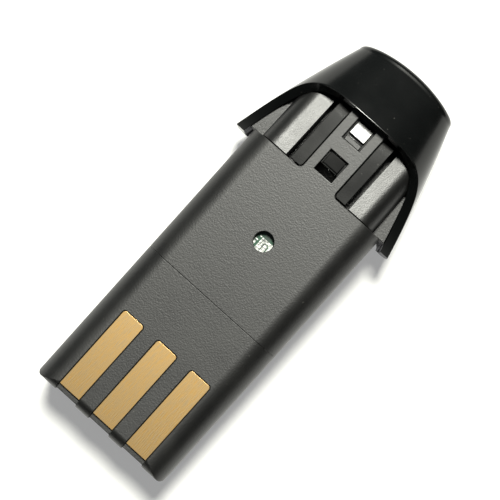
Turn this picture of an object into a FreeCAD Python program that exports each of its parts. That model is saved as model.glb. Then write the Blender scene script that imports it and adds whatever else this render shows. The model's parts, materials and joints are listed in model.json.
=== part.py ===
import FreeCAD, Part
import math
import os

# A USB programmer for microcontrollers in the shape of a slide-in pack.
# The nose carries three contact strips and goes into a host first. The flared
# hood stays outside and holds the USB socket in its end.
# Frame: X across, +Y from the nose towards the hood, +Z out of the contact face.
# The origin lies under the middle of the object, on the plane of its back.
# A station is a distance from the nose end, measured along Y. All sizes are in mm.

Vec = FreeCAD.Vector

# Cells, and the walls around them
cell_diameter = 14.2
cell_length = 50.0
cell_side_gap = 0.2
cell_nub_diameter = 5.6
cell_nub_height = 1.2
washer_thickness = 0.3
washer_inset = 0.4
wall = 1.5
front_wall = 1.6
edge_radius = 5.0

# Circuit board over the cells
board_thickness = 1.0
board_width = 23.6
board_front = 21.2
board_row = 34.4
tab_landing = 0.9
board_end_gap = 0.4
foam_tape = 0.3
foam_tape_width = 3.0
foam_tape_inset = 2.0
tab_thickness = 0.2
tab_width = 5.0
front_foam = 2.3
foam_pad_trim = 2.0
rear_gap = 1.8

# Case parts along the length
nose_length = 32.2
lip_length = 2.4
lip_wall = 0.7
spigot_length = 6.1
seam = 0.15
fit_gap = 0.1

# Nose
strip_count = 3
strip_pitch = 8.48
strip_width = 4.9
strip_thickness = 0.3
strip_front = 1.65
strip_rear = 20.1
strip_corner = 0.55
strip_recess = 0.1
strip_side_gap = 0.12
leg_width = 2.0
leg_station = 17.6
leg_gap = 0.25
tail_length = 6.6
ledge_drop = 0.9
groove_depth = 0.5
groove_height = 7.0
nose_top_radius = 2.2
nose_corner_radius = 0.9

# Parts under the main board, as width, length and height
controller_size = (5.0, 5.0, 0.9)
memory_size = (3.9, 4.9, 1.3)
bridge_chip_size = (3.0, 3.0, 0.9)
regulator_size = (3.5, 6.5, 1.5)
crystal_size = (3.2, 1.8, 0.9)
crystal_corner = 0.3
capacitor_size = (0.8, 1.6, 0.8)
resistor_size = (0.8, 1.6, 0.45)
leg_across = 0.22
leg_thickness = 0.1
leg_end_space = 0.8

# Places of the parts under the main board, from the board's front end
capacitor_column = 1.1
resistor_column = 2.5
first_row_place = 2.0
regulator_place = 7.2
second_row_place = 11.4
controller_place = 15.4
crystal_place = 20.0
memory_place = 24.4
last_capacitor_place = 28.0
bridge_chip_place = 31.0

# Round port over the test pad
port_diameter = 3.95
port_station = 47.2
pad_diameter = 3.2
pad_thickness = 0.06

# Tongue of the upper cover, and its two windows
tongue_width = 8.2
tongue_length = 16.4
tongue_thickness = 1.0
tongue_root_radius = 0.95
tongue_side_room = 2.0
tongue_under_room = 0.5
window_width = 4.35
window_starts = (1.7, 9.6)
window_lengths = (4.9, 5.2)

# Sprung finger under the tongue
finger_width = 13.8
finger_side_slot = 0.94
finger_floor = 1.75
root_width = 10.0
finger_gap = 0.15
band_recess = 0.3
band_end_run = 4.3
band_end_fall = 1.4
tip_gap = 0.3
tip_room = 0.6
catch_width = 3.55
catch_end_gap = 0.3
catch_top_drop = 0.35
front_void = 1.75
step_length = 0.35
step_height = 0.25
front_catch_dip = 0.1
stop_start = 0.1
stop_end = 1.15
stop_dips = (0.3, 0.6)
rear_catch_start = 1.7
rear_catch_dip = 0.65
arm_under = 0.3
pivot_reach = 19.9
pivot_drop = 3.6
knuckle_radius = 1.3
knuckle_gap = 0.15
cradle_lip = 0.4
cradle_drop = 0.75
finger_travel = 7.0

# Neck frame
ledge_width = 2.0
ledge_level_drop = 6.2
hump_drop = 0.5
hump_fall = 2.5
hump_length = 17.8
shoulder_radius = 3.6
frame_tail = 22.4
channel_clearance = 0.5

# Hood
hood_reach = 28.2
tip_overlap = 1.45
hood_wall = 1.9
hood_end_wall = 2.4
hood_flare = 3.6
hood_end_inset = 5.3
hood_end_drop = 3.0
hood_top_fall = 13.2
hood_plan_slope = 0.8
upper_roundness = 2.5
lower_roundness = 4.0
hood_crown = 1.4
hood_end_radius = 1.2
hood_body_gap = 1.0
arch_reach = 15.3
arch_start_rise = 2.7
arch_top_level = 2.5

# USB socket and its board
socket_width = 8.94
socket_height = 3.26
socket_length = 7.3
socket_skin = 0.3
socket_inset = 0.45
socket_gap = 0.15
usb_board_width = 14.0
usb_board_length = 17.0
usb_board_thickness = 0.8
usb_board_level = 6.0
rail_width = 1.1
lead_diameter = 0.9
lead_count = 4
lead_pitch = 1.4
lead_bend = 1.6
lead_landing = 0.8
lead_start = 2.0
bay_depth = 2.2
bay_head_room = 0.8
socket_blade_width = 6.7
socket_blade_thickness = 0.7
socket_blade_inset = 1.4
socket_back = 1.0

# Countersunk screws in the back
screw_diameter = 2.0
screw_head = 3.8
screw_length = 6.0
screw_rim = 0.2
screw_hole_gap = 0.05
screw_hole_spare = 0.5
screw_cross_length = 2.1
screw_cross_width = 0.55
screw_cross_depth = 0.7
screw_x = 9.975
case_screw_level = 0.15
hood_screw_level = 0.95
hood_screw_reach = 11.0

# Sizes that follow
body_width = 2 * (cell_diameter + wall) + 3 * cell_side_gap
board_gap = strip_thickness
body_height = wall + cell_diameter + foam_tape + board_thickness + board_gap + wall
cell_front = front_wall + front_foam + tab_thickness
cell_rear = cell_front + cell_length
board_rear = max(board_front + board_row, cell_rear + tab_thickness + tab_landing)
spigot_start = max(cell_rear + tab_thickness + rear_gap, board_rear + board_end_gap)
sleeve_end = spigot_start + spigot_length
total_length = sleeve_end + hood_reach
board_top = body_height - wall - board_gap
board_bottom = board_top - board_thickness
cell_x = (cell_diameter + cell_side_gap) / 2
cell_z = wall + cell_diameter / 2
split_level = body_height / 2
hood_start = sleeve_end - tip_overlap
hood_length = total_length - hood_start
hood_mouth_half_width = body_width / 2 + hood_flare
hood_end_half_width = body_width / 2 - hood_end_inset
hood_end_height = body_height - hood_end_drop
hood_ridge_height = hood_end_height + hood_top_fall
arch_top = sleeve_end + arch_reach
neck_start = sleeve_end + seam
pivot_station = sleeve_end + pivot_reach
pivot_level = body_height - pivot_drop
finger_top = body_height - band_recess
groove_level = body_height - tongue_thickness - finger_gap
finger_bottom = groove_level - finger_floor
finger_tip_drop = (pivot_reach - seam) * math.sin(math.radians(finger_travel))
channel_floor = finger_bottom - finger_tip_drop - channel_clearance
channel_half = finger_width / 2 + finger_side_slot
socket_level = usb_board_level + usb_board_thickness + socket_height / 2


def y_at(station):
    """Y of a station, with the origin at the middle of the length."""
    return station - total_length / 2


def box(x0, x1, s0, s1, z0, z1):
    """Box between two X, two stations and two levels."""
    return Part.makeBox(x1 - x0, s1 - s0, z1 - z0, Vec(x0, y_at(s0), z0))


def middle_box(width, s0, s1, z0, z1, x=0.0):
    """Box centred on X = x."""
    return box(x - width / 2, x + width / 2, s0, s1, z0, z1)


def post(radius, x, station, z0, z1):
    """Round post along Z."""
    return Part.makeCylinder(radius, z1 - z0, Vec(x, y_at(station), z0))


def cross_bar(radius, width, station, level):
    """Round bar along X, centred on X = 0."""
    start = Vec(-width / 2, y_at(station), level)
    return Part.makeCylinder(radius, width, start, Vec(1, 0, 0))


def along_bar(radius, x, level, s0, s1):
    """Round bar along Y."""
    return Part.makeCylinder(radius, s1 - s0, Vec(x, y_at(s0), level), Vec(0, 1, 0))


def joined(shapes):
    """One solid from overlapping or touching shapes."""
    first = shapes[0]
    for other in shapes[1:]:
        first = first.fuse(other)
    return first.removeSplitter()


def group(shapes):
    """Several separate solids in one node."""
    return Part.makeCompound(shapes)


def edges_along(shape, direction):
    """Straight edges that run along one unit vector."""
    found = []
    for edge in shape.Edges:
        ends = edge.Vertexes
        if len(ends) == 2:
            run = ends[1].Point.sub(ends[0].Point)
            if run.Length > 0 and abs(abs(run.dot(direction)) - run.Length) < 1e-6:
                found.append(edge)
    return found


def rounded_bar(inset, s0, s1):
    """The case's section, drawn in by inset, along Y."""
    bar = middle_box(body_width - 2 * inset, s0, s1, inset, body_height - inset)
    return bar.makeFillet(edge_radius - inset, edges_along(bar, Vec(0, 1, 0)))


def side_profile(points, width):
    """Solid from (station, level) corners, as wide as width along X."""
    corners = [Vec(-width / 2, y_at(s), z) for s, z in points]
    face = Part.Face(Part.makePolygon(corners + corners[:1]))
    return face.extrude(Vec(width, 0, 0))


def save(shape, node):
    """Write one node's STEP file."""
    if not shape.isValid():
        raise ValueError(node + " is not a valid shape")
    shape.exportStep("parts/" + node + ".step")


# ---------------------------------------------------------------- nose cap

def strip_positions():
    """X of each contact strip."""
    middle = (strip_count - 1) / 2
    return [(i - middle) * strip_pitch for i in range(strip_count)]


def front_edge_rounding(radius, level, inward):
    """Cutter that rounds the front edge at a level. Inward is 1 for the lower edge, -1 for the upper."""
    span = body_width + 2
    z0, z1 = sorted((level - inward, level + inward * radius))
    corner = middle_box(span, -1, radius, z0, z1)
    return corner.cut(cross_bar(radius, span + 2, radius, level + inward * radius))


def side_edge_rounding(radius, side):
    """Cutter that rounds the upright front edge on one side."""
    centre_x = side * (body_width / 2 - radius)
    x0, x1 = sorted((centre_x, side * (body_width / 2 + 1)))
    corner = box(x0, x1, -1, radius, -1, body_height + 1)
    return corner.cut(post(radius, centre_x, radius, -2, body_height + 2))


def nose_cap():
    """Closed front end of the case, with a pocket for each contact strip."""
    cap = rounded_bar(0, 0, nose_length)
    cap = cap.cut(front_edge_rounding(nose_top_radius, body_height, -1))
    cap = cap.cut(front_edge_rounding(nose_corner_radius, 0, 1))
    for side in (-1, 1):
        cap = cap.cut(side_edge_rounding(nose_corner_radius, side))
    cap = cap.cut(rounded_bar(wall, front_wall, nose_length + 1))
    rebate = wall - lip_wall - fit_gap / 2
    cap = cap.cut(rounded_bar(rebate, nose_length - lip_length - fit_gap, nose_length + 1))
    pocket_floor = body_height - strip_recess - strip_thickness
    pocket_width = strip_width + 2 * strip_side_gap
    pocket_rear = strip_rear + strip_side_gap
    above = body_height + 1
    for x in strip_positions():
        pocket = middle_box(pocket_width, -1, pocket_rear, pocket_floor, above, x)
        rear_corners = [e for e in edges_along(pocket, Vec(0, 0, 1)) if e.Vertexes[0].Y > y_at(strip_front)]
        pocket = pocket.makeFillet(strip_corner + strip_side_gap, rear_corners)
        ledge = middle_box(pocket_width, -1, strip_front - strip_side_gap, body_height - ledge_drop, above, x)
        groove = middle_box(pocket_width, -1, groove_depth, body_height - groove_height, above, x)
        leg_start = leg_station - leg_gap
        leg_end = leg_station + strip_thickness + leg_gap
        leg_slot = middle_box(leg_width + 2 * leg_gap, leg_start, leg_end, body_height - wall - 1, above, x)
        for cutter in (pocket, ledge, groove, leg_slot):
            cap = cap.cut(cutter)
    return cap


def contact_strip(x):
    """Gold-plated strip with a leg that turns under the wall and lies on the board."""
    top = body_height - strip_recess
    bottom = top - strip_thickness
    plate = middle_box(strip_width, strip_front, strip_rear, bottom, top, x)
    rear_corners = [e for e in edges_along(plate, Vec(0, 0, 1)) if e.Vertexes[0].Y > y_at(strip_front) + 1]
    plate = plate.makeFillet(strip_corner, rear_corners)
    leg = middle_box(leg_width, leg_station, leg_station + strip_thickness, board_top, bottom, x)
    tail_top = board_top + strip_thickness
    tail = middle_box(leg_width, leg_station, leg_station + tail_length, board_top, tail_top, x)
    return joined([plate, leg, tail])


# ---------------------------------------------------------------- case shells

def sleeve_shell(below, above):
    """Part of the sleeve between two levels, with the lip that enters the nose cap."""
    outer = rounded_bar(0, nose_length, sleeve_end)
    lip = rounded_bar(wall - lip_wall, nose_length - lip_length, nose_length)
    inner = rounded_bar(wall, nose_length - lip_length - 1, sleeve_end + 1)
    shell = joined([outer, lip]).cut(inner)
    return shell.common(middle_box(body_width + 2, 0, total_length, below, above))


def tongue():
    """Flat strip that carries the contact face on over the neck, with two windows."""
    low = body_height - tongue_thickness
    end = sleeve_end + tongue_length
    strip = middle_box(tongue_width, sleeve_end - wall, end, low, body_height)
    fillets = tongue_root(tongue_root_radius)
    strip = joined([strip] + fillets)
    for start, length in zip(window_starts, window_lengths):
        front = sleeve_end + start
        window = middle_box(window_width, front, front + length, low - 1, body_height + 1)
        strip = strip.cut(window)
    return strip


def tongue_root(radius):
    """Quarter-round webs that widen the tongue where it leaves the sleeve."""
    low = body_height - tongue_thickness
    webs = []
    for side in (-1, 1):
        edge = side * tongue_width / 2
        x0, x1 = sorted((edge, edge + side * radius))
        web = box(x0, x1, sleeve_end, sleeve_end + radius, low, body_height)
        centre = edge + side * radius
        scoop = post(radius, centre, sleeve_end + radius, low - 1, body_height + 1)
        webs.append(web.cut(scoop))
    return webs


def upper_cover():
    """Upper half of the sleeve, with the round port and the tongue."""
    cover = sleeve_shell(split_level, body_height)
    cover = joined([cover, tongue()])
    return cover.cut(post(port_diameter / 2, 0, port_station, body_height - wall - 1, body_height + 1))


def screw_places():
    """X, station and head level of each screw: two in the case, two in the hood."""
    case_station = spigot_start + spigot_length / 2
    hood_station = sleeve_end + hood_screw_reach
    places = []
    for side in (-1, 1):
        places.append((side * screw_x, case_station, case_screw_level))
        places.append((side * screw_x, hood_station, hood_screw_level))
    return places


def screw_seat(x, station, level):
    """Countersunk hole for one screw, open downwards."""
    gap = screw_hole_gap
    rim = level + screw_rim
    mouth = post(screw_head / 2 + gap, x, station, -2, rim)
    cone_height = (screw_head - screw_diameter) / 2
    cone = Part.makeCone(
        screw_head / 2 + gap,
        screw_diameter / 2 + gap,
        cone_height,
        Vec(x, y_at(station), rim),
    )
    shank = post(screw_diameter / 2 + gap, x, station, level, level + screw_length + screw_hole_spare)
    return joined([mouth, cone, shank])


def screw(x, station, level):
    """Countersunk screw with a cross recess, head down."""
    rim = level + screw_rim
    head = post(screw_head / 2, x, station, level, rim)
    cone_height = (screw_head - screw_diameter) / 2
    top = Vec(x, y_at(station), rim)
    cone = Part.makeCone(screw_head / 2, screw_diameter / 2, cone_height, top)
    shank = post(screw_diameter / 2, x, station, rim, level + screw_length)
    body = joined([head, cone, shank])
    depth = level + screw_cross_depth
    for across, along in ((screw_cross_length, screw_cross_width), (screw_cross_width, screw_cross_length)):
        body = body.cut(middle_box(across, station - along / 2, station + along / 2, level - 1, depth, x))
    return body


def lower_shell():
    """Lower half of the sleeve, with two countersunk holes in its back."""
    shell = sleeve_shell(0, split_level)
    for x, station, level in screw_places():
        if station < sleeve_end:
            shell = shell.cut(screw_seat(x, station, level))
    return shell


# ---------------------------------------------------------------- hood

def hood_share(station):
    """How far along the hood a station lies, 0 at the mouth and 1 at the end."""
    return max(0.0, (station - hood_start) / hood_length)


def hood_quarter(half_width, height, roundness, right, up, middle, y):
    """One quarter of the hood's outline, from its side to its top or bottom."""
    steps = 8
    points = []
    for i in range(steps + 1):
        angle = math.pi / 2 * i / steps
        across = math.cos(angle)
        rise = math.sin(angle)
        reach = (across ** roundness + rise ** roundness) ** (-1 / roundness)
        points.append(Vec(right * half_width * across * reach, y, middle + up * height * rise * reach))
    curve = Part.BSplineCurve()
    side_tangent = Vec(0, 0, up)
    end_tangent = Vec(-right, 0, 0)
    curve.interpolate(Points=points, InitialTangent=side_tangent, FinalTangent=end_tangent)
    return curve.toShape()


def hood_section(station, inset):
    """Closed outline of the hood at a station, drawn in by inset."""
    share = hood_share(station)
    plan_fall = hood_plan_slope * share + (1 - hood_plan_slope) * share ** 2
    plan_drop = hood_mouth_half_width - hood_end_half_width
    half_width = hood_mouth_half_width - plan_drop * plan_fall - inset
    top = hood_ridge_height - hood_top_fall * share - inset
    upper = top - split_level
    lower = split_level - inset
    y = y_at(station)
    return Part.Wire([
        hood_quarter(half_width, upper, upper_roundness, 1, 1, split_level, y),
        hood_quarter(half_width, upper, upper_roundness, -1, 1, split_level, y),
        hood_quarter(half_width, lower, lower_roundness, -1, -1, split_level, y),
        hood_quarter(half_width, lower, lower_roundness, 1, -1, split_level, y),
    ])


def hood_body(inset, s0, s1):
    """Solid with the hood's outline between two stations."""
    count = 7
    stations = [s0 + (s1 - s0) * i / (count - 1) for i in range(count)]
    return Part.makeLoft([hood_section(s, inset) for s in stations], True, False)


def arch_cutter():
    """Everything above a quarter ellipse that runs from the wing tips to the arch's top."""
    start_level = split_level + arch_start_rise
    top_level = body_height + arch_top_level
    reach = arch_top - hood_start
    height = top_level - start_level
    steps = 10
    curve_points = []
    for i in range(steps + 1):
        angle = math.pi / 2 * i / steps
        station = hood_start + reach * math.sin(angle)
        level = top_level - height * math.cos(angle)
        curve_points.append(Vec(-body_width, y_at(station), level))
    curve = Part.BSplineCurve()
    curve.interpolate(curve_points)
    sky = top_level + 10
    front = hood_start - 5
    corners = [
        curve_points[-1],
        Vec(-body_width, y_at(arch_top), sky),
        Vec(-body_width, y_at(front), sky),
        Vec(-body_width, y_at(front), start_level),
        curve_points[0],
    ]
    lines = [Part.LineSegment(a, b).toShape() for a, b in zip(corners, corners[1:])]
    face = Part.Face(Part.Wire([curve.toShape()] + lines))
    return face.extrude(Vec(2 * body_width, 0, 0))


def hood_end_trim():
    """Upright cylinder that crowns the hood's end."""
    half_chord = hood_end_half_width
    radius = (half_chord ** 2 + hood_crown ** 2) / (2 * hood_crown)
    return post(radius, 0, total_length - radius, -5, hood_ridge_height + 5)


def stadium(width, height, s0, s1, level):
    """Bar along Y with a flat-sided round-ended section."""
    radius = height / 2
    flat = width / 2 - radius
    core = box(-flat, flat, s0, s1, level - radius, level + radius)
    return joined([core, along_bar(radius, -flat, level, s0, s1), along_bar(radius, flat, level, s0, s1)])


def hood_shell():
    """Flared end of the case, open towards the nose, with the arch cut in its mouth."""
    shell = hood_body(0, hood_start, total_length).common(hood_end_trim())
    end_edges = []
    for edge in shell.Edges:
        box_y = edge.BoundBox
        if box_y.YMin > y_at(total_length - 2 * hood_crown) and box_y.XLength > hood_end_half_width:
            end_edges.append(edge)
    shell = shell.makeFillet(hood_end_radius, end_edges)
    shell = shell.cut(hood_body(hood_wall, hood_start, total_length - hood_end_wall))
    shell = shell.cut(rounded_bar_outside(hood_body_gap, hood_start - 1, sleeve_end + seam))
    shell = shell.cut(arch_cutter())
    opening_width = socket_width + 2 * socket_gap
    opening_height = socket_height + 2 * socket_gap
    opening_start = total_length - hood_end_wall - 1
    shell = shell.cut(stadium(opening_width, opening_height, opening_start, total_length + 1, socket_level))
    for x, station, level in screw_places():
        if station > sleeve_end:
            shell = shell.cut(screw_seat(x, station, level))
    return shell


def rounded_bar_outside(gap, s0, s1):
    """The case's section, grown by gap, along Y."""
    return rounded_bar(-gap, s0, s1)


# ---------------------------------------------------------------- neck frame

def hump_section(station, top):
    """Outline of the raised middle of the neck, with round shoulders."""
    half = body_width / 2 - ledge_width
    low = body_height - ledge_level_drop - 1
    r = shoulder_radius
    y = y_at(station)
    bend = r * (1 - math.sqrt(0.5))
    left_foot = Vec(-half, y, low)
    left_rise = Vec(-half, y, top - r)
    left_mid = Vec(-half + bend, y, top - bend)
    left_top = Vec(-half + r, y, top)
    right_top = Vec(half - r, y, top)
    right_mid = Vec(half - bend, y, top - bend)
    right_rise = Vec(half, y, top - r)
    right_foot = Vec(half, y, low)
    return Part.Wire([
        Part.LineSegment(left_foot, left_rise).toShape(),
        Part.Arc(left_rise, left_mid, left_top).toShape(),
        Part.LineSegment(left_top, right_top).toShape(),
        Part.Arc(right_top, right_mid, right_rise).toShape(),
        Part.LineSegment(right_rise, right_foot).toShape(),
        Part.LineSegment(right_foot, left_foot).toShape(),
    ])


def neck_frame():
    """Frame that enters the sleeve, shows under the arch and carries the hood and USB board."""
    tail_end = sleeve_end + frame_tail
    envelope = hood_body(hood_wall + fit_gap, hood_start, total_length - hood_end_wall)
    ledge_level = body_height - ledge_level_drop
    base = middle_box(2 * body_width, neck_start, tail_end, 0, ledge_level)
    hump = Part.makeLoft(
        [
            hump_section(neck_start, body_height - hump_drop),
            hump_section(sleeve_end + hump_length, body_height - hump_drop - hump_fall),
        ],
        True,
        True,
    )
    cradle_front = pivot_station - knuckle_radius - cradle_lip
    cradle_top = pivot_level - cradle_drop
    cradle = middle_box(finger_width, cradle_front, tail_end, ledge_level - 1, cradle_top)
    channel = middle_box(2 * channel_half, neck_start - 1, cradle_front, channel_floor, body_height + 1)
    neck = joined([base, hump]).cut(channel)
    neck = joined([neck, cradle]).common(envelope)
    seat = cross_bar(knuckle_radius + knuckle_gap, finger_width + 4, pivot_station, pivot_level)
    rear_room = middle_box(finger_width + 4, cradle_front, tail_end + 1, cradle_top, body_height + 1)
    neck = neck.cut(seat).cut(rear_room)
    spigot = rounded_bar(wall + fit_gap, spigot_start, neck_start)
    neck = joined([neck, spigot])
    tip_start = neck_start - tip_room
    tip_channel = middle_box(2 * channel_half, tip_start, neck_start + 1, channel_floor, body_height + 1)
    neck = neck.cut(tip_channel)
    bay_width = usb_board_width + 2 * fit_gap
    bay_floor = usb_board_level - bay_depth
    bay_top = socket_level + socket_height / 2 + bay_head_room
    floor_width = bay_width - 2 * rail_width
    bay_front = usb_board_front() - fit_gap
    neck = neck.cut(middle_box(floor_width, spigot_start - 1, tail_end + 1, bay_floor, bay_top))
    neck = neck.cut(middle_box(bay_width, bay_front, tail_end + 1, usb_board_level, bay_top))
    lead_room = middle_box(floor_width, spigot_start - 1, sleeve_end - wall, bay_floor, board_top)
    neck = neck.cut(lead_room)
    room_width = tongue_width + 2 * tongue_side_room
    room_floor = body_height - wall - tongue_under_room
    tongue_room = middle_box(room_width, spigot_start - 1, neck_start, room_floor, body_height)
    neck = neck.cut(tongue_room)
    for x, station, level in screw_places():
        neck = neck.cut(screw_seat(x, station, level))
    return neck


def catch(front, rear, front_top, rear_top):
    """Catch on the finger that stands up into a window."""
    return side_profile(
        [(front, groove_level - 0.5), (front, front_top), (rear, rear_top), (rear, groove_level - 0.5)],
        catch_width,
    )


def latch_finger():
    """Sprung finger: a plate with raised side bands, two catches and a round root."""
    tip = sleeve_end + tip_gap
    plate_end = sleeve_end + tongue_length + 2 * finger_gap
    plate = middle_box(finger_width, tip, plate_end, finger_bottom, finger_top)
    slope_start = plate_end - band_end_run
    above = body_height + 1
    fallen = finger_top - band_end_fall
    slope = [(slope_start, finger_top), (plate_end, fallen), (plate_end, above), (slope_start, above)]
    plate = plate.cut(side_profile(slope, finger_width + 2))
    groove_width = tongue_width + 2 * finger_gap
    plate = plate.cut(middle_box(groove_width, tip - 1, plate_end + 1, groove_level, body_height + 1))
    root_room = tongue_root_radius + finger_gap
    for side in (-1, 1):
        edge = side * groove_width / 2
        x0, x1 = sorted((edge - side, edge + side * (root_room - finger_gap)))
        corner = box(x0, x1, tip - 1, sleeve_end + root_room, groove_level, body_height + 1)
        centre_x = edge + side * (root_room - finger_gap)
        round_post = post(root_room - finger_gap, centre_x, sleeve_end + root_room, 0, body_height + 2)
        plate = plate.cut(corner.cut(round_post))
    window_2 = sleeve_end + window_starts[0]
    window_2_end = window_2 + window_lengths[0]
    window_1 = sleeve_end + window_starts[1]
    high = body_height - catch_top_drop
    void_end = window_2 + front_void
    step_top = groove_level + step_height
    step_end = void_end + step_length
    rear_end = window_1 + window_lengths[1] - catch_end_gap
    plate = plate.cut(middle_box(window_width, window_2, void_end, finger_bottom - 1, body_height))
    catches = [
        catch(void_end, step_end, step_top, step_top),
        catch(step_end, window_2_end - catch_end_gap, high - front_catch_dip, high),
        catch(window_1 + stop_start, window_1 + stop_end, high - stop_dips[0], high - stop_dips[1]),
        catch(window_1 + rear_catch_start, rear_end, high, high - rear_catch_dip),
    ]
    arm_top = pivot_level + knuckle_radius
    arm = middle_box(root_width, plate_end - 1, pivot_station, pivot_level - arm_under, arm_top)
    knuckle = cross_bar(knuckle_radius, root_width, pivot_station, pivot_level)
    return joined([plate, arm, knuckle] + catches)


# ---------------------------------------------------------------- boards and parts on them

def circuit_board():
    """Main board, which lies over the cells under the contact face."""
    return middle_box(board_width, board_front, board_rear, board_bottom, board_top)


def test_pad():
    """Tinned pad on the main board, under the round port."""
    return post(pad_diameter / 2, 0, port_station, board_top, board_top + pad_thickness)


def chip(size, place, leg_sides, leg_spacing, leg_reach):
    """Chip under the main board, with legs on its two long sides or on all four."""
    width, length, height = size
    station = board_front + place
    top = board_bottom - leg_thickness
    leg_bottom = top - leg_thickness
    shapes = [middle_box(width, station - length / 2, station + length / 2, top - height, top)]
    count = int((length - leg_end_space) / leg_spacing)
    for i in range(count + 1):
        offset = (i - count / 2) * leg_spacing
        s0 = station + offset - leg_across / 2
        shapes.append(middle_box(width + 2 * leg_reach, s0, s0 + leg_across, leg_bottom, board_bottom))
        if leg_sides == 4:
            s1 = station - length / 2 - leg_reach
            s2 = station + length / 2 + leg_reach
            shapes.append(middle_box(leg_across, s1, s2, leg_bottom, board_bottom, offset))
    return joined(shapes)


def microcontroller():
    """Square chip with legs on all four sides."""
    return chip(controller_size, controller_place, 4, 0.5, 0.7)


def memory_chip():
    """Memory that holds the image to be written to a target."""
    return chip(memory_size, memory_place, 2, 1.27, 0.8)


def usb_bridge_chip():
    """Chip between the USB lines and the microcontroller."""
    return chip(bridge_chip_size, bridge_chip_place, 4, 0.5, 0.5)


def voltage_regulator():
    """Regulator that supplies the target, with three wide-set legs a side."""
    return chip(regulator_size, regulator_place, 2, 2.3, 1.2)


def crystal():
    """Metal-can crystal beside the microcontroller."""
    width, length, height = crystal_size
    middle = board_front + crystal_place
    can = middle_box(width, middle - length / 2, middle + length / 2, board_bottom - height, board_bottom)
    return can.makeFillet(crystal_corner, edges_along(can, Vec(0, 0, 1)))


def small_parts(size, places):
    """Equal two-ended parts under the main board, at (X, distance from the board's front)."""
    width, length, height = size
    parts = []
    for x, place in places:
        front = board_front + place - length / 2
        parts.append(middle_box(width, front, front + length, board_bottom - height, board_bottom, x))
    return group(parts)


def column_places(column):
    """Places in both rows, on each side of the middle."""
    return [(x, row) for row in (first_row_place, second_row_place) for x in (-column, column)]


def capacitors():
    """Ceramic capacitors near the chips."""
    return small_parts(capacitor_size, column_places(capacitor_column) + [(0.0, last_capacitor_place)])


def resistors():
    """Thick-film resistors near the chips."""
    return small_parts(resistor_size, column_places(resistor_column))


def usb_board_front():
    """Station of the USB board's inner end."""
    return total_length - hood_end_wall - fit_gap - usb_board_length


def usb_board():
    """Small board that carries the USB socket, on rails in the neck frame."""
    front = usb_board_front()
    top = usb_board_level + usb_board_thickness
    return middle_box(usb_board_width, front, front + usb_board_length, usb_board_level, top)


def usb_socket():
    """Drawn metal shell of the USB socket, closed at its inner end."""
    front = total_length - socket_inset
    outer = stadium(socket_width, socket_height, front - socket_length, front, socket_level)
    inner_width = socket_width - 2 * socket_skin
    inner_height = socket_height - 2 * socket_skin
    inner_start = front - socket_length + socket_back
    return outer.cut(stadium(inner_width, inner_height, inner_start, front + 1, socket_level))


def socket_tongue():
    """Thin plastic blade with contacts in the middle of the USB socket."""
    front = total_length - socket_inset
    start = front - socket_length + socket_back
    half = socket_blade_thickness / 2
    blade_end = front - socket_blade_inset
    return middle_box(socket_blade_width, start, blade_end, socket_level - half, socket_level + half)


def lead_path(x):
    """Centre line of one lead from the USB board up to the main board."""
    low = usb_board_level + usb_board_thickness + lead_diameter / 2
    high = board_bottom - lead_diameter / 2
    rise_station = spigot_start + spigot_length / 2
    bend = lead_bend
    start = Vec(x, y_at(usb_board_front() + lead_start), low)
    corner_low = Vec(x, y_at(rise_station), low)
    corner_high = Vec(x, y_at(rise_station), high)
    end = Vec(x, y_at(board_rear - lead_landing), high)
    forward = Vec(0, bend, 0)
    upward = Vec(0, 0, bend)
    share = 1 - math.sqrt(0.5)
    low_mid = corner_low.add(Vec(0, bend * share, bend * share))
    high_mid = corner_high.add(Vec(0, -bend * share, -bend * share))
    return Part.Wire([
        Part.LineSegment(start, corner_low.add(forward)).toShape(),
        Part.Arc(corner_low.add(forward), low_mid, corner_low.add(upward)).toShape(),
        Part.LineSegment(corner_low.add(upward), corner_high.sub(upward)).toShape(),
        Part.Arc(corner_high.sub(upward), high_mid, corner_high.sub(forward)).toShape(),
        Part.LineSegment(corner_high.sub(forward), end).toShape(),
    ])


def usb_leads():
    """Leads that join the two boards inside the neck."""
    leads = []
    for i in range(lead_count):
        x = (i - (lead_count - 1) / 2) * lead_pitch
        path = lead_path(x)
        start = path.Edges[0].Vertexes[0].Point
        circle = Part.Wire([Part.Circle(start, Vec(0, 1, 0), lead_diameter / 2).toShape()])
        leads.append(path.makePipeShell([circle], True, False))
    return group(leads)


# ---------------------------------------------------------------- cells

def cell(side):
    """Cylindrical cell. The left one has its nub at the rear, the right one at the front."""
    x = side * cell_x
    nub_rear = side < 0
    can_front = cell_front if nub_rear else cell_front + cell_nub_height
    can_rear = cell_rear - cell_nub_height if nub_rear else cell_rear
    can = along_bar(cell_diameter / 2, x, cell_z, can_front, can_rear)
    nub_start = can_rear if nub_rear else cell_front
    nub = along_bar(cell_nub_diameter / 2, x, cell_z, nub_start, nub_start + cell_nub_height)
    return joined([can, nub])


def cell_washers():
    """Paper ring around each cell's nub."""
    rings = []
    right_start = cell_front + cell_nub_height - washer_thickness
    for side, start in ((-1, cell_rear - cell_nub_height), (1, right_start)):
        x = side * cell_x
        end = start + washer_thickness
        ring = along_bar(cell_diameter / 2 - washer_inset, x, cell_z, start, end)
        rings.append(ring.cut(along_bar(cell_nub_diameter / 2, x, cell_z, start - 1, end + 1)))
    return group(rings)


def front_bridge():
    """Nickel strip that joins the two cells in series at the nose."""
    span = 2 * cell_x + tab_width
    low = cell_z - tab_width / 2
    return middle_box(span, cell_front - tab_thickness, cell_front, low, low + tab_width)


def rear_tab(side):
    """Nickel tab from the end of one cell up to the main board."""
    x = side * cell_x
    low = cell_z - tab_width / 2
    return middle_box(tab_width, cell_rear, cell_rear + tab_thickness, low, board_bottom, x)


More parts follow.
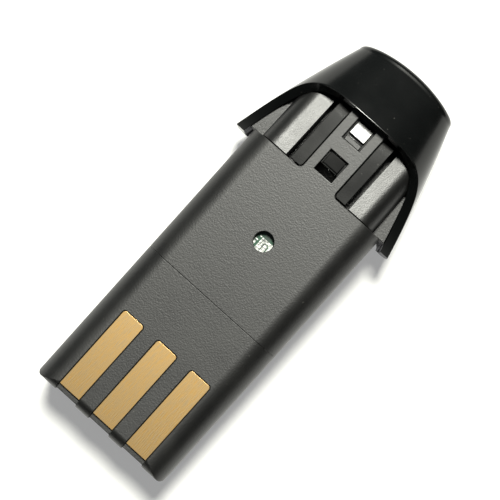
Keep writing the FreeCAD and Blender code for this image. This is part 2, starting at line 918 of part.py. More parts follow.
def foam_tapes():
    """Foam tape along the top of each cell, under the board."""
    tapes = []
    tape_rear = min(board_rear, cell_rear) - foam_tape_inset
    for side in (-1, 1):
        tape = middle_box(foam_tape_width, board_front + foam_tape_inset, tape_rear,
                          board_bottom - foam_tape, board_bottom, side * cell_x)
        tapes.append(tape)
    return group(tapes)


def front_foam_pad():
    """Foam between the nose wall and the cells' bridge."""
    height = cell_diameter - foam_pad_trim
    width = body_width - 2 * wall - edge_radius
    return middle_box(width, front_wall, cell_front - tab_thickness, cell_z - height / 2, cell_z + height / 2)


def case_screws():
    """Four equal screws in the back."""
    return group([screw(x, station, level) for x, station, level in screw_places()])


def main():
    os.makedirs("parts", exist_ok=True)
    nodes = {
        "nose_cap": nose_cap(),
        "upper_cover": upper_cover(),
        "lower_shell": lower_shell(),
        "hood_shell": hood_shell(),
        "neck_frame": neck_frame(),
        "latch_finger": latch_finger(),
        "circuit_board": circuit_board(),
        "test_pad": test_pad(),
        "microcontroller": microcontroller(),
        "memory_chip": memory_chip(),
        "usb_bridge_chip": usb_bridge_chip(),
        "voltage_regulator": voltage_regulator(),
        "crystal": crystal(),
        "capacitors": capacitors(),
        "resistors": resistors(),
        "usb_board": usb_board(),
        "usb_socket": usb_socket(),
        "socket_tongue": socket_tongue(),
        "usb_leads": usb_leads(),
        "cell_left": cell(-1),
        "cell_right": cell(1),
        "cell_washers": cell_washers(),
        "front_bridge": front_bridge(),
        "rear_tab_left": rear_tab(-1),
        "rear_tab_right": rear_tab(1),
        "foam_tapes": foam_tapes(),
        "front_foam_pad": front_foam_pad(),
        "case_screws": case_screws(),
    }
    for name, x in zip(("left", "middle", "right"), strip_positions()):
        nodes["contact_strip_" + name] = contact_strip(x)
    for node, shape in nodes.items():
        save(shape, node)


main()
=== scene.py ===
import bmesh
import bpy
import json
import math
from mathutils import Matrix, Vector


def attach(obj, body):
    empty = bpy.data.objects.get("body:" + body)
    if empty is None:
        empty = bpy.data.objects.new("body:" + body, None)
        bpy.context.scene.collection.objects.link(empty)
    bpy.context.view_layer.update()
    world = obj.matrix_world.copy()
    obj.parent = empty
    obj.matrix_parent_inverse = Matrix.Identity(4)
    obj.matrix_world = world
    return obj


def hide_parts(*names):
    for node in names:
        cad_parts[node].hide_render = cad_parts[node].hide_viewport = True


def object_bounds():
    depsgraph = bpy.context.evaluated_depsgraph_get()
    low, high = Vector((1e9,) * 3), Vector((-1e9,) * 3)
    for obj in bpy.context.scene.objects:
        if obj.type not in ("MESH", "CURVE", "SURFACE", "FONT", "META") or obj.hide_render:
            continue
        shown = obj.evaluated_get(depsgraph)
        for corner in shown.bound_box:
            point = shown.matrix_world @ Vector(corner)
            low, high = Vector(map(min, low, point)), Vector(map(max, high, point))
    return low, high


# A black slide-in pack with gold contact strips, a sprung snap finger under a
# windowed tongue, and a flared hood with a USB socket in its end.
# The scene is in metres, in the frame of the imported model. Sizes below are in mm
# unless their comment says otherwise.

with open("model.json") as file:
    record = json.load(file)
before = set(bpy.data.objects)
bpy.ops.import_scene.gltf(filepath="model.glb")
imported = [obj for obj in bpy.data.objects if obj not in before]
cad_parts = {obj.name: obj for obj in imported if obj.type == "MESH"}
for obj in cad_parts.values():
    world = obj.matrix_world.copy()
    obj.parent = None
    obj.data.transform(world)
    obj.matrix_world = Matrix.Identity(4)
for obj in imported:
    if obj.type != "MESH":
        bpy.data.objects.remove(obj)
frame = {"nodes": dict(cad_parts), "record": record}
cad_low, cad_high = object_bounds()
MM = 0.001
NODES = frame["nodes"]


# ---------------------------------------------------------------- finishes

def linear(hex_colour):
    """Linear RGBA from an sRGB hex colour."""
    parts = [int(hex_colour[i:i + 2], 16) / 255 for i in (1, 3, 5)]
    return [p / 12.92 if p <= 0.04045 else ((p + 0.055) / 1.055) ** 2.4 for p in parts] + [1.0]


def per_mm(size_mm):
    """Texture scale, in repeats per metre, of a pattern whose features are size_mm apart."""
    return 1 / (size_mm * MM)


def band_scale(radian_mm):
    """Scale of a wave texture that turns by one radian every radian_mm: its bands are 2 pi times
    that apart."""
    return per_mm(radian_mm) / 20


def add(tree, kind, settings=None, links=None):
    """Adds one node. Settings name its sockets or properties, links name sockets and what feeds them."""
    node = tree.nodes.new(kind)
    for name, value in (settings or {}).items():
        if name in node.inputs:
            node.inputs[name].default_value = value
        else:
            setattr(node, name, value)
    for name, source in (links or {}).items():
        tree.links.new(source, node.inputs[name])
    return node


def start_material(name, **surface):
    """Material with one Principled shader, and the coordinates of the piece in metres."""
    material = bpy.data.materials.new(name)
    material.use_nodes = True
    tree = material.node_tree
    tree.nodes.clear()
    settings = {key.replace("_", " "): value for key, value in surface.items()}
    shader = add(tree, "ShaderNodeBsdfPrincipled", settings)
    add(tree, "ShaderNodeOutputMaterial", links={"Surface": shader.outputs["BSDF"]})
    place = add(tree, "ShaderNodeTexCoord").outputs["Object"]
    return material, tree, shader, place


def pattern(tree, place, size_mm, detail=2.0, stretch=(1, 1, 1)):
    """Noise whose features are about size_mm across, drawn out along an axis by stretch."""
    settings = {"Scale": [1 / s for s in stretch]}
    mapped = add(tree, "ShaderNodeMapping", settings, {"Vector": place}).outputs["Vector"]
    settings = {"Scale": per_mm(size_mm), "Detail": detail, "Roughness": 0.6}
    return add(tree, "ShaderNodeTexNoise", settings, {"Vector": mapped}).outputs["Fac"]


def finish(tree, shader, factor, colours, gloss, edges=(0.35, 0.65)):
    """Runs the colour and the roughness between two ends as the factor rises."""
    ramp = add(tree, "ShaderNodeValToRGB", links={"Fac": factor})
    for stop, position, colour in zip(ramp.color_ramp.elements, edges, colours):
        stop.position = position
        stop.color = linear(colour)
    tree.links.new(ramp.outputs["Color"], shader.inputs["Base Color"])
    span = {"From Min": edges[0], "From Max": edges[1], "To Min": gloss[0], "To Max": gloss[1]}
    level = add(tree, "ShaderNodeMapRange", span, {"Value": factor})
    tree.links.new(level.outputs["Result"], shader.inputs["Roughness"])
    return ramp.outputs["Color"]


def relief(tree, shader, height, depth_mm):
    """Fine relief of depth_mm from a height pattern."""
    bump = add(tree, "ShaderNodeBump", {"Strength": 1.0, "Distance": depth_mm * MM}, {"Height": height})
    tree.links.new(bump.outputs["Normal"], shader.inputs["Normal"])


def moulded_plastic(name, colours, gloss, grain_mm, depth_mm, ior):
    """Moulded black plastic. The mould leaves a fine even grain, and flow in the
    mould leaves slow changes of gloss. Pale specks are dust and rub marks."""
    material, tree, shader, place = start_material(name, IOR=ior)
    colour = finish(tree, shader, pattern(tree, place, 7.0), colours, gloss)
    dust = add(tree, "ShaderNodeMapRange", {"From Min": 0.7, "From Max": 0.78, "To Max": 0.5},
               {"Value": pattern(tree, place, 0.9, 4.0)}).outputs["Result"]
    speckled = add(tree, "ShaderNodeMixRGB", {"Color2": linear("#6b6a64")}, {"Fac": dust, "Color1": colour})
    tree.links.new(speckled.outputs["Color"], shader.inputs["Base Color"])
    relief(tree, shader, pattern(tree, place, grain_mm, 2.0), depth_mm)
    return material


def spark_eroded_abs():
    """ABS moulded in a spark-eroded tool: matte, with a grain drawn at 0.3 mm so that it shows."""
    return moulded_plastic("spark_eroded_black_abs", ("#070707", "#0a0a09"), (0.42, 0.46), 0.3, 0.03, 1.55)


def smooth_abs():
    """ABS from a nearly polished tool: deep black with a satin gloss and faint flow waves."""
    return moulded_plastic("satin_black_abs", ("#060707", "#080909"), (0.2, 0.23), 0.45, 0.001, 1.38)


def glass_filled_nylon():
    """Nylon with short glass fibre: fibres near the skin leave a slightly uneven, dry gloss."""
    return moulded_plastic("glass_filled_black_nylon", ("#070707", "#0a0a09"), (0.38, 0.42), 0.25, 0.035, 1.5)


def brushed_gold():
    """Thin gold over nickel, brushed along its length: fine pale and dark lines, soft gloss."""
    material, tree, shader, place = start_material("brushed_gold_plate", Metallic=1.0)
    lines = pattern(tree, place, 0.16, 3.0, (1, 14, 1))
    finish(tree, shader, lines, ("#d9ab63", "#fbd9a4"), (0.3, 0.25), (0.3, 0.7))
    relief(tree, shader, lines, 0.006)
    return material


def solder_mask():
    """Glass-epoxy laminate under green solder mask: faint bands of weave, about 2.5 mm apart."""
    surface = {"IOR": 1.5, "Coat_Weight": 0.6, "Coat_Roughness": 0.12}
    material, tree, shader, place = start_material("green_solder_mask", **surface)
    weave = add(tree, "ShaderNodeTexWave", {"Scale": band_scale(0.4), "Distortion": 1.5}, {"Vector": place})
    finish(tree, shader, weave.outputs["Fac"], ("#0c2a1c", "#14402b"), (0.35, 0.3), (0.2, 0.8))
    return material


def tinned_copper():
    """Solder that flowed over copper: bright, slightly grey, with soft dimples."""
    material, tree, shader, place = start_material("reflowed_tin_on_copper", Metallic=1.0)
    dimples = pattern(tree, place, 0.5)
    finish(tree, shader, dimples, ("#b9bcb8", "#d9dbd6"), (0.2, 0.32))
    relief(tree, shader, dimples, 0.02)
    return material


def white_ink():
    """Screen-printed white ink on the board: chalky, a little uneven."""
    material, tree, shader, place = start_material("screen_printed_white_ink", IOR=1.48)
    finish(tree, shader, pattern(tree, place, 0.2), ("#d5d8d2", "#eef0ea"), (0.6, 0.7))
    return material


def chip_resin():
    """Moulded epoxy of chip bodies: near black, with a sandy grain."""
    material, tree, shader, place = start_material("moulded_chip_epoxy", IOR=1.55)
    grain = pattern(tree, place, 0.12)
    finish(tree, shader, grain, ("#1b1b1c", "#262627"), (0.5, 0.62))
    relief(tree, shader, grain, 0.006)
    return material


def drawn_nickel_can():
    """Deep-drawn steel under nickel plate: faint lines in the drawing direction."""
    material, tree, shader, place = start_material("drawn_nickel_plated_steel", Metallic=1.0)
    lines = pattern(tree, place, 0.2, 2.0, (1, 10, 1))
    finish(tree, shader, lines, ("#a9a9a6", "#c9c8c4"), (0.22, 0.32))
    relief(tree, shader, lines, 0.002)
    return material


def fired_ceramic(name, colours, pale_hex, radian_mm):
    """Fired ceramic chip that pales slowly towards the colour of its tinned ends."""
    material, tree, shader, place = start_material(name, IOR=1.6)
    grain = pattern(tree, place, 0.15)
    colour = finish(tree, shader, grain, colours, (0.4, 0.5))
    wave = {"Scale": band_scale(radian_mm), "bands_direction": "Y"}
    paling = add(tree, "ShaderNodeTexWave", wave, {"Vector": place}).outputs["Fac"]
    mixed = add(tree, "ShaderNodeMixRGB", {"Color2": linear(pale_hex)}, {"Fac": paling, "Color1": colour})
    tree.links.new(mixed.outputs["Color"], shader.inputs["Base Color"])
    return material


def heat_resistant_resin():
    """Glass-filled liquid crystal polymer of connector cores: black, dry and finely streaked."""
    material, tree, shader, place = start_material("moulded_connector_resin", IOR=1.6)
    streaks = pattern(tree, place, 0.2, 2.0, (1, 5, 1))
    finish(tree, shader, streaks, ("#151516", "#222223"), (0.42, 0.52))
    return material


def vinyl_insulation():
    """Extruded soft vinyl on the leads: evenly coloured with a soft sheen."""
    material, tree, shader, place = start_material("extruded_red_vinyl", IOR=1.53)
    finish(tree, shader, pattern(tree, place, 0.8, 2.0, (1, 4, 1)), ("#8a1f18", "#a32b20"), (0.35, 0.42))
    return material


def shrunk_vinyl_sleeve():
    """Heat-shrunk vinyl over a cell: glossy, with small ripples around the can."""
    material, tree, shader, place = start_material("heat_shrunk_blue_vinyl", IOR=1.53)
    ripples = pattern(tree, place, 1.2, 2.0, (5, 1, 5))
    finish(tree, shader, ripples, ("#2c4f7d", "#355c90"), (0.25, 0.34))
    relief(tree, shader, ripples, 0.03)
    return material


def fibre_paper():
    """Punched insulating paper: pale, with tangled fibres."""
    material, tree, shader, place = start_material("punched_fibre_paper", IOR=1.45)
    fibres = pattern(tree, place, 0.15, 5.0)
    finish(tree, shader, fibres, ("#c3bda9", "#dcd7c7"), (0.75, 0.85))
    relief(tree, shader, fibres, 0.01)
    return material


def rolled_nickel():
    """Rolled nickel strip: long fine roll lines and a soft grey gloss."""
    material, tree, shader, place = start_material("rolled_nickel_strip", Metallic=1.0)
    lines = pattern(tree, place, 0.12, 2.0, (12, 1, 12))
    finish(tree, shader, lines, ("#a19f98", "#bfbcb4"), (0.28, 0.36))
    return material


def closed_cell_foam():
    """Closed-cell foam: charcoal, with cell walls 0.35 mm apart that catch the light."""
    material, tree, shader, place = start_material("closed_cell_foam", IOR=1.45)
    cells = add(tree, "ShaderNodeTexVoronoi", {"Scale": per_mm(0.35)}, {"Vector": place}).outputs["Distance"]
    finish(tree, shader, cells, ("#343432", "#1d1d1c"), (0.8, 0.9), (0.1, 0.6))
    relief(tree, shader, cells, 0.05)
    return material


def black_zinc():
    """Turned steel screw under black zinc: dark and slightly uneven."""
    material, tree, shader, place = start_material("black_zinc_on_turned_steel", Metallic=0.85)
    mottle = pattern(tree, place, 0.15)
    finish(tree, shader, mottle, ("#2a2b2c", "#3b3c3d"), (0.3, 0.4))
    return material


def rubbed_nylon():
    """The same nylon where it is sprung in and out: rubbed nearly smooth."""
    return moulded_plastic("rubbed_black_nylon", ("#080808", "#0b0b0a"), (0.2, 0.23), 0.3, 0.004, 1.53)


FINISHES = {
    "case_plastic": spark_eroded_abs(),
    "hood_plastic": smooth_abs(),
    "frame_plastic": glass_filled_nylon(),
    "gold_plate": brushed_gold(),
    "board_laminate": solder_mask(),
    "tinned_copper": tinned_copper(),
    "chip_resin": chip_resin(),
    "plated_can": drawn_nickel_can(),
    "capacitor_ceramic": fired_ceramic("fired_brown_ceramic", ("#8f7350", "#a2855e"), "#b8b6b0", 1.6),
    "resistor_ceramic": fired_ceramic("glazed_black_alumina", ("#161616", "#222222"), "#b8b6b0", 1.6),
    "socket_resin": heat_resistant_resin(),
    "lead_insulation": vinyl_insulation(),
    "cell_sleeve": shrunk_vinyl_sleeve(),
    "washer_paper": fibre_paper(),
    "nickel_strip": rolled_nickel(),
    "foam": closed_cell_foam(),
    "screw_steel": black_zinc(),
    "white_ink": white_ink(),
}


# ---------------------------------------------------------------- hood

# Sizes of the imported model, in mm. A station is a distance from the nose end.
LENGTH = (cad_high[1] - cad_low[1]) / MM
BODY_WIDTH = 32.0
BODY_HEIGHT = 18.8
SLEEVE_END = 62.2
HOOD_START = 60.75
HOOD_LENGTH = LENGTH - HOOD_START
MOUTH_HALF_WIDTH = 19.6
END_HALF_WIDTH = 10.7
END_HEIGHT = 15.8
TOP_FALL = 13.2
SPLIT_LEVEL = BODY_HEIGHT / 2
PLAN_SLOPE = 0.8
UPPER_ROUNDNESS = 2.5
LOWER_ROUNDNESS = 4.0
HOOD_WALL = 1.9
HOOD_END_WALL = 2.4
END_CROWN = 1.4
END_RADIUS = 1.2
ARCH_TOP = SLEEVE_END + 15.3
ARCH_START_LEVEL = SPLIT_LEVEL + 2.7
ARCH_TOP_LEVEL = BODY_HEIGHT + 2.5
BODY_GAP = 1.0
SEAM = 0.15
BODY_CORNER = 5.0
SOCKET_LEVEL = 8.43
SOCKET_OPENING = (9.24, 3.56)
SOCKET_BEVEL = 0.6
SOCKET_BEVEL_DEPTH = 0.4
SCREW_X = 9.975
SCREW_STATION = SLEEVE_END + 11
SCREW_HEAD_RADIUS = 1.95
SCREW_HOLE_RADIUS = 1.05
SCREW_SEAT_LEVEL = 1.15
SCREW_HOLE_TOP = 7.45

# Sizes of the mesh: rounding, stations that count as the same, and how finely it is divided.
RIM_ROUND = 0.1
SAME_STATION = 0.01
UPPER_COLUMNS = 96
LOWER_COLUMNS = 72
WALL_ROWS = 44
CAP_ROWS = 12
ROUND_ROWS = 6

# Below the split, the mouth draws back to clear the sleeve from this angle on, in degrees.
DRAW_BACK_FROM = 40
DRAW_BACK_OVER = 8


def at(x, station, z):
    """Point in metres from millimetres across, along and up."""
    return Vector((x * MM, (station - LENGTH / 2) * MM, z * MM))


def hood_point(angle, station, inset):
    """X and Z of the hood's outline at an angle around it, in mm."""
    share = max(0.0, (station - HOOD_START) / HOOD_LENGTH)
    fall = PLAN_SLOPE * share + (1 - PLAN_SLOPE) * share ** 2
    half = MOUTH_HALF_WIDTH - (MOUTH_HALF_WIDTH - END_HALF_WIDTH) * fall - inset
    top = END_HEIGHT + TOP_FALL * (1 - share) - inset
    across, rise = math.cos(angle), math.sin(angle)
    roundness = UPPER_ROUNDNESS if rise >= 0 else LOWER_ROUNDNESS
    height = top - SPLIT_LEVEL if rise >= 0 else SPLIT_LEVEL - inset
    reach = (abs(across) ** roundness + abs(rise) ** roundness) ** (-1 / roundness)
    return half * across * reach, SPLIT_LEVEL + height * rise * reach


def arch_level(station):
    """Level of the arch's edge at a station."""
    run = min(1.0, max(0.0, (station - HOOD_START) / (ARCH_TOP - HOOD_START)))
    return ARCH_TOP_LEVEL - (ARCH_TOP_LEVEL - ARCH_START_LEVEL) * math.sqrt(1 - run ** 2)


def bisect(above, low, high):
    """Where above() turns from true to false between low and high."""
    for _ in range(40):
        middle = (low + high) / 2
        if above(middle):
            low = middle
        else:
            high = middle
    return (low + high) / 2


def hood_angles(inset):
    """Angles of the columns: the arched part first, packed at the wing tips, then the rest."""
    first = bisect(lambda a: hood_point(a, HOOD_START, inset)[1] < ARCH_START_LEVEL, 0.0, math.pi / 2)
    span = math.pi - 2 * first
    upper = [first + span * (1 - math.cos(math.pi * i / UPPER_COLUMNS)) / 2 for i in range(UPPER_COLUMNS)]
    rest = 2 * math.pi - span
    lower = [math.pi - first + rest * i / LOWER_COLUMNS for i in range(LOWER_COLUMNS)]
    return upper + lower


def mouth_station(angle, inset, column):
    """Station of the mouth's edge in one column."""
    if column < UPPER_COLUMNS:
        if column == 0:
            return HOOD_START
        return bisect(lambda s: hood_point(angle, s, inset)[1] > arch_level(s), HOOD_START, ARCH_TOP)
    below = math.degrees(abs(math.atan2(math.sin(angle), abs(math.cos(angle))))) if math.sin(angle) < 0 else 0
    step = min(1.0, max(0.0, (below - DRAW_BACK_FROM) / DRAW_BACK_OVER))
    return HOOD_START + (SLEEVE_END + SEAM - HOOD_START) * step * step * (3 - 2 * step)


def clear_of_sleeve(x, station, z):
    """Moves a point of the hood's inner face outside the gap around the sleeve."""
    if station > SLEEVE_END + SEAM - SAME_STATION:
        return x, z
    grown = BODY_CORNER + BODY_GAP
    centre_x = BODY_WIDTH / 2 - BODY_CORNER
    dx = abs(x) - centre_x
    dz = BODY_CORNER - z
    distance = math.hypot(dx, dz)
    if dx > 0 and dz > 0 and distance < grown:
        dx *= grown / distance
        dz *= grown / distance
        return math.copysign(centre_x + dx, x), BODY_CORNER - dz
    return x, z


def end_station(x):
    """Station of the crowned end at X."""
    radius = (END_HALF_WIDTH ** 2 + END_CROWN ** 2) / (2 * END_CROWN)
    return LENGTH - radius + math.sqrt(radius ** 2 - x ** 2)


def hood_column(index, outer_angle, inner_angle):
    """Points of one column, from the middle of the end round the mouth to the inner end."""
    outer = []
    mouth = mouth_station(outer_angle, 0.0, index)
    x_end = hood_point(outer_angle, LENGTH - END_RADIUS, 0.0)[0]
    last = end_station(x_end) - END_RADIUS
    start = mouth + RIM_ROUND
    for i in range(WALL_ROWS + 1):
        station = start + (last - start) * i / WALL_ROWS
        x, z = hood_point(outer_angle, station, 0.0)
        outer.append(at(x, station, z))
    for i in range(1, ROUND_ROWS + 1):
        turn = math.pi / 2 * i / ROUND_ROWS
        inset = END_RADIUS * (1 - math.cos(turn))
        x, z = hood_point(outer_angle, last, inset)
        outer.append(at(x, last + END_RADIUS * math.sin(turn), z))
    edge_x, edge_z = hood_point(outer_angle, last, END_RADIUS)
    edge_station = last + END_RADIUS
    for i in range(1, CAP_ROWS):
        share = 1 - i / CAP_ROWS
        x = edge_x * share
        z = SOCKET_LEVEL + (edge_z - SOCKET_LEVEL) * share
        station = end_station(x) + (edge_station - end_station(edge_x)) * share
        outer.append(at(x, station, z))
    inner = []
    mouth_in = mouth_station(inner_angle, HOOD_WALL, index)
    back = LENGTH - HOOD_END_WALL
    start_in = mouth_in + RIM_ROUND
    for i in range(WALL_ROWS + 1):
        station = start_in + (back - start_in) * i / WALL_ROWS
        x, z = hood_point(inner_angle, station, HOOD_WALL)
        x, z = clear_of_sleeve(x, station, z)
        inner.append(at(x, station, z))
    x_back, z_back = hood_point(inner_angle, back, HOOD_WALL)
    for i in range(1, CAP_ROWS):
        share = 1 - i / CAP_ROWS
        inner.append(at(x_back * share, back, SOCKET_LEVEL + (z_back - SOCKET_LEVEL) * share))
    x, z = hood_point(outer_angle, mouth, 0.0)
    corner_out = at(x, mouth, z)
    x, z = hood_point(inner_angle, mouth_in, HOOD_WALL)
    x, z = clear_of_sleeve(x, mouth_in, z)
    corner_in = at(x, mouth_in, z)
    across = corner_in - corner_out
    cut = min(RIM_ROUND * MM / max(across.length, 1e-9), 0.45)
    face_out = corner_out + across * cut
    face_in = corner_in - across * cut
    bend_out = (outer[0] + corner_out * 2 + face_out) / 4
    bend_in = (inner[0] + corner_in * 2 + face_in) / 4
    return outer[::-1] + [bend_out, face_out, face_in, bend_in] + inner


def closed_grid(name, columns, first_pole, last_pole):
    """Mesh from columns of points side by side all the way round, closed by a point at each end."""
    mesh = bmesh.new()
    rows = [[mesh.verts.new(point) for point in column] for column in columns]
    poles = mesh.verts.new(first_pole), mesh.verts.new(last_pole)
    for column, following in zip(rows, rows[1:] + rows[:1]):
        for i in range(len(column) - 1):
            mesh.faces.new((column[i], column[i + 1], following[i + 1], following[i]))
        mesh.faces.new((poles[0], column[0], following[0]))
        mesh.faces.new((column[-1], poles[1], following[-1]))
    bmesh.ops.recalc_face_normals(mesh, faces=mesh.faces)
    return as_piece(name, mesh)


def as_piece(name, mesh, angle=math.radians(17.5)):
    """Object from a bmesh, smooth except at edges sharper than angle."""
    for face in mesh.faces:
        face.smooth = True
    for edge in mesh.edges:
        edge.smooth = edge.calc_face_angle(0.0) < angle
    data = bpy.data.meshes.new(name)
    mesh.to_mesh(data)
    mesh.free()
    piece = bpy.data.objects.new(name, data)
    bpy.context.scene.collection.objects.link(piece)
    return piece


def dress(piece, slot, body, *nodes):
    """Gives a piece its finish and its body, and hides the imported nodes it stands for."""
    piece.data.materials.clear()
    piece.data.materials.append(FINISHES[slot])
    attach(piece, body)
    if nodes:
        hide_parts(*nodes)


def cut_away(piece, cutters):
    """Cuts each cutter out of a piece, then removes the cutters."""
    for cutter in cutters:
        modifier = piece.modifiers.new("cut", "BOOLEAN")
        modifier.operation = "DIFFERENCE"
        modifier.object = cutter
        modifier.solver = "EXACT"
    bpy.context.view_layer.update()
    graph = bpy.context.evaluated_depsgraph_get()
    mesh = bmesh.new()
    mesh.from_object(piece, graph)
    name = piece.name
    for cutter in cutters:
        bpy.data.objects.remove(cutter)
    bpy.data.objects.remove(piece)
    bmesh.ops.dissolve_degenerate(mesh, edges=mesh.edges, dist=1e-7)
    return as_piece(name, mesh)


def turned(name, profile, x, station, sides=48):
    """Turned piece about an upright axis, from (radius, level) in mm."""
    mesh = bmesh.new()
    rings = []
    for radius, level in profile:
        ring = []
        for i in range(sides):
            turn = 2 * math.pi * i / sides
            point = at(x + radius * math.cos(turn), station + radius * math.sin(turn), level)
            ring.append(mesh.verts.new(point))
        rings.append(ring)
    for low, high in zip(rings, rings[1:]):
        for i in range(sides):
            j = (i + 1) % sides
            mesh.faces.new((low[i], low[j], high[j], high[i]))
    mesh.faces.new(rings[0][::-1])
    mesh.faces.new(rings[-1])
    bmesh.ops.recalc_face_normals(mesh, faces=mesh.faces)
    return as_piece(name, mesh)


def stadium_ring(width, height, station, steps=16):
    """Points of a flat-sided round-ended outline, upright across the hood's end."""
    radius = height / 2
    flat = width / 2 - radius
    points = []
    for side in (1, -1):
        for i in range(steps + 1):
            turn = math.pi * i / steps - math.pi / 2
            x = side * (flat + radius * math.cos(turn))
            points.append(at(x, station, SOCKET_LEVEL + side * radius * math.sin(turn)))
    return points


def stadium_bar(name, sections):
    """Bar along Y from (width, height, station) sections."""
    mesh = bmesh.new()
    rings = [[mesh.verts.new(p) for p in stadium_ring(*section)] for section in sections]
    count = len(rings[0])
    for low, high in zip(rings, rings[1:]):
        for i in range(count):
            j = (i + 1) % count
            mesh.faces.new((low[i], low[j], high[j], high[i]))
    mesh.faces.new(rings[0][::-1])
    mesh.faces.new(rings[-1])
    bmesh.ops.recalc_face_normals(mesh, faces=mesh.faces)
    return as_piece(name, mesh)


def hood():
    """Flared hood with wings and an arched mouth."""
    outer, inner = hood_angles(0.0), hood_angles(HOOD_WALL)
    columns = [hood_column(i, a, b) for i, (a, b) in enumerate(zip(outer, inner))]
    front = LENGTH - HOOD_END_WALL
    shell = closed_grid("hood", columns, at(0, LENGTH, SOCKET_LEVEL), at(0, front, SOCKET_LEVEL))
    width, height = SOCKET_OPENING
    wide, high = width + SOCKET_BEVEL, height + SOCKET_BEVEL
    cutters = [stadium_bar("socket_opening", [
        (width, height, front - 1),
        (width, height, LENGTH - SOCKET_BEVEL_DEPTH),
        (wide, high, LENGTH + 0.1),
        (wide, high, LENGTH + 1),
    ])]
    cone_top = SCREW_SEAT_LEVEL + SCREW_HEAD_RADIUS - SCREW_HOLE_RADIUS
    seat = [
        (SCREW_HEAD_RADIUS, -2.0),
        (SCREW_HEAD_RADIUS, SCREW_SEAT_LEVEL),
        (SCREW_HOLE_RADIUS, cone_top),
        (SCREW_HOLE_RADIUS, SCREW_HOLE_TOP),
    ]
    for side in (-1, 1):
        cutters.append(turned("screw_seat", seat, side * SCREW_X, SCREW_STATION))
    shell = cut_away(shell, cutters)
    dress(shell, "hood_plastic", "root", "hood_shell")


hood()


# ---------------------------------------------------------------- mouldings and strips

SHARP = math.radians(40)
EDGE_ROUNDING = {
    "nose_cap": 0.12, "upper_cover": 0.12, "lower_shell": 0.12, "neck_frame": 0.12, "latch_finger": 0.1,
    "contact_strip_left": 0.05, "contact_strip_middle": 0.05, "contact_strip_right": 0.05,
}


def softened(node, slot, body, width_mm):
    """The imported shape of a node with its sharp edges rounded, as a mould or a press leaves them."""
    mesh = bmesh.new()
    mesh.from_mesh(NODES[node].data)
    bmesh.ops.remove_doubles(mesh, verts=mesh.verts, dist=1e-7)
    flat = math.radians(0.3)
    bmesh.ops.dissolve_limit(mesh, angle_limit=flat, verts=mesh.verts, edges=mesh.edges)
    sharp = [e for e in mesh.edges if len(e.link_faces) == 2 and e.calc_face_angle(0.0) > SHARP]
    bmesh.ops.bevel(
        mesh, geom=sharp, offset=width_mm * MM, segments=2, profile=0.5, affect="EDGES", clamp_overlap=False,
    )
    piece = as_piece(node + "_moulding", mesh)
    even = piece.modifiers.new("even_faces", "WEIGHTED_NORMAL")
    even.keep_sharp = True
    even.weight = 100
    dress(piece, slot, body, node)
    return piece



# ---------------------------------------------------------------- pads on the board

PORT_STATION = 47.2
BOARD_TOP = 17.0
PAD_HEIGHT = 0.05


def flat_pad(name, outline, slot, height_mm, *nodes):
    """Thin flat piece on the board, from (across, along) corners around the port's centre."""
    mesh = bmesh.new()
    corners = [mesh.verts.new(at(x, PORT_STATION + y, BOARD_TOP)) for x, y in outline]
    face = mesh.faces.new(corners)
    grown = bmesh.ops.extrude_face_region(mesh, geom=[face])["geom"]
    tops = [v for v in grown if isinstance(v, bmesh.types.BMVert)]
    bmesh.ops.translate(mesh, verts=tops, vec=(0, 0, height_mm * MM))
    bmesh.ops.recalc_face_normals(mesh, faces=mesh.faces)
    dress(as_piece(name, mesh), slot, "root", *nodes)


def pads():
    """Tinned pads, a bent track between them, and two printed marks."""
    wide = [(-0.72, -2.1), (0.2, -2.1), (0.2, -0.3), (0.28, -0.1), (0.45, 0.02), (1.05, 0.02), (1.28, -0.08),
            (1.4, -0.3), (1.4, -2.1), (2.1, -2.1), (2.1, 0.58), (-0.3, 0.58), (-0.3, 0.42), (-0.22, 0.42),
            (-0.22, -0.75), (-0.34, -0.75), (-0.34, 0.58), (-0.72, 0.58)]
    tongue = [(0.4, -2.1), (1.2, -2.1), (1.2, -0.38), (1.12, -0.22), (0.98, -0.16), (0.58, -0.16),
              (0.46, -0.22), (0.4, -0.36)]
    side = [(-1.9, -2.1), (-1.25, -2.1), (-1.25, -0.75), (-1.9, -0.75)]
    flat_pad("wide_pad", wide, "tinned_copper", PAD_HEIGHT, "test_pad")
    flat_pad("tongue_pad", tongue, "tinned_copper", PAD_HEIGHT)
    flat_pad("side_pad", side, "tinned_copper", PAD_HEIGHT)
    for name, x, y, length in (("mark_front", -1.43, -0.4, 0.6), ("mark_rear", -1.1, 0.5, 0.35)):
        half = length / 2
        bar = [(x - half, y - 0.1), (x + half, y - 0.1), (x + half, y + 0.1), (x - half, y + 0.1)]
        flat_pad(name, bar, "white_ink", PAD_HEIGHT / 2)


def other_parts():
    """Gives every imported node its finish, and rounds the edges of those that show."""
    bodies = {node: body for body, nodes in frame["record"]["behaviour"]["bodies"].items() for node in nodes}
    for part in frame["record"]["subparts"]:
        name, slot = part["node"], part["material_slot"]
        if name in EDGE_ROUNDING:
            piece = softened(name, slot, bodies[name], EDGE_ROUNDING[name])
            if name == "latch_finger":
                piece.data.materials[0] = rubbed_nylon()
        elif name not in ("hood_shell", "test_pad"):
            data = NODES[name].data
            data.materials.clear()
            data.materials.append(FINISHES[slot])


other_parts()
pads()


# ---------------------------------------------------------------- floor, light and camera

SOFTBOX_FROM = (-0.16, math.sin(math.radians(24)), math.cos(math.radians(24)))
SOFTBOX_WIDTH = 14
SOFTBOX_STRENGTH = 7.4
BRIGHT_SIDE = (-0.75, 0.55, 0.35)
ROOM_LEVELS = (0.02, 0.14)
TABLE_GLOW = 0.32

# The camera, in metres and degrees.
CAMERA_DISTANCE = 0.3
CAMERA_ANGLE = 17.87
CAMERA_TILT = 3.5
CAMERA_RIGHT = (0.7455, 0.6665, 0)
CAMERA_AIM = (-0.00085, -0.00087, BODY_HEIGHT * MM)


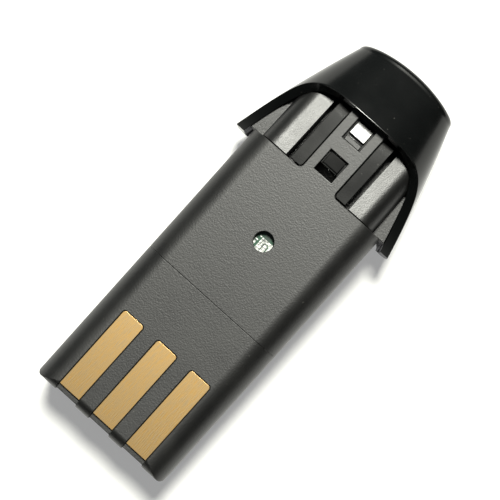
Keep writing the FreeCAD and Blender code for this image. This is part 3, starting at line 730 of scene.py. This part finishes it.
def studio():
    """Pale floor, soft light from the hood side, and a camera above the contact face."""
    mesh = bmesh.new()
    bmesh.ops.create_grid(mesh, x_segments=8, y_segments=8, size=1.5)
    floor = as_piece("floor", mesh)
    material, tree, shader, place = start_material("pale_floor")
    finish(tree, shader, pattern(tree, place, 60.0), ("#bcbcbb", "#bebebd"), (0.8, 0.9))
    shader.inputs["Emission Color"].default_value = (1.0, 1.0, 1.0, 1.0)
    shader.inputs["Emission Strength"].default_value = TABLE_GLOW
    floor.data.materials.append(material)

    world = bpy.data.worlds.new("studio")
    bpy.context.scene.world = world
    world.use_nodes = True
    sky = world.node_tree.nodes["Background"]
    sky.inputs["Strength"].default_value = 1.0
    toward = add(world.node_tree, "ShaderNodeTexCoord").outputs["Generated"]
    facing = add(world.node_tree, "ShaderNodeVectorMath", {"operation": "DOT_PRODUCT"})
    world.node_tree.links.new(toward, facing.inputs[0])
    facing.inputs[1].default_value = Vector(BRIGHT_SIDE).normalized()
    ramp = add(world.node_tree, "ShaderNodeValToRGB", links={"Fac": facing.outputs["Value"]})
    for stop, position, level in zip(ramp.color_ramp.elements, (0.0, 0.9), ROOM_LEVELS):
        stop.position = position
        stop.color = (0.88 * level, level, level, 1.0)
    world.node_tree.links.new(ramp.outputs["Color"], sky.inputs["Color"])

    lamp = bpy.data.lights.new("softbox", "SUN")
    lamp.energy = SOFTBOX_STRENGTH
    lamp.color = (1.0, 1.0, 0.92)
    lamp.angle = math.radians(SOFTBOX_WIDTH)
    softbox = bpy.data.objects.new("softbox", lamp)
    bpy.context.scene.collection.objects.link(softbox)
    softbox.rotation_euler = Vector(SOFTBOX_FROM).to_track_quat("Z", "Y").to_euler()

    lens = bpy.data.cameras.new("camera")
    lens.angle = math.radians(CAMERA_ANGLE)
    lens.clip_start = 0.01
    camera = bpy.data.objects.new("camera", lens)
    bpy.context.scene.collection.objects.link(camera)
    tilt = math.radians(CAMERA_TILT)
    back = Vector((math.sin(tilt), 0, math.cos(tilt)))
    right = Vector(CAMERA_RIGHT)
    right = (right - back * right.dot(back)).normalized()
    up = back.cross(right)
    stand = Matrix.Translation(Vector(CAMERA_AIM) + back * CAMERA_DISTANCE)
    camera.matrix_world = stand @ Matrix((right, up, back)).transposed().to_4x4()
    bpy.context.scene.camera = camera
    bpy.context.scene.view_settings.view_transform = "Standard"


studio()
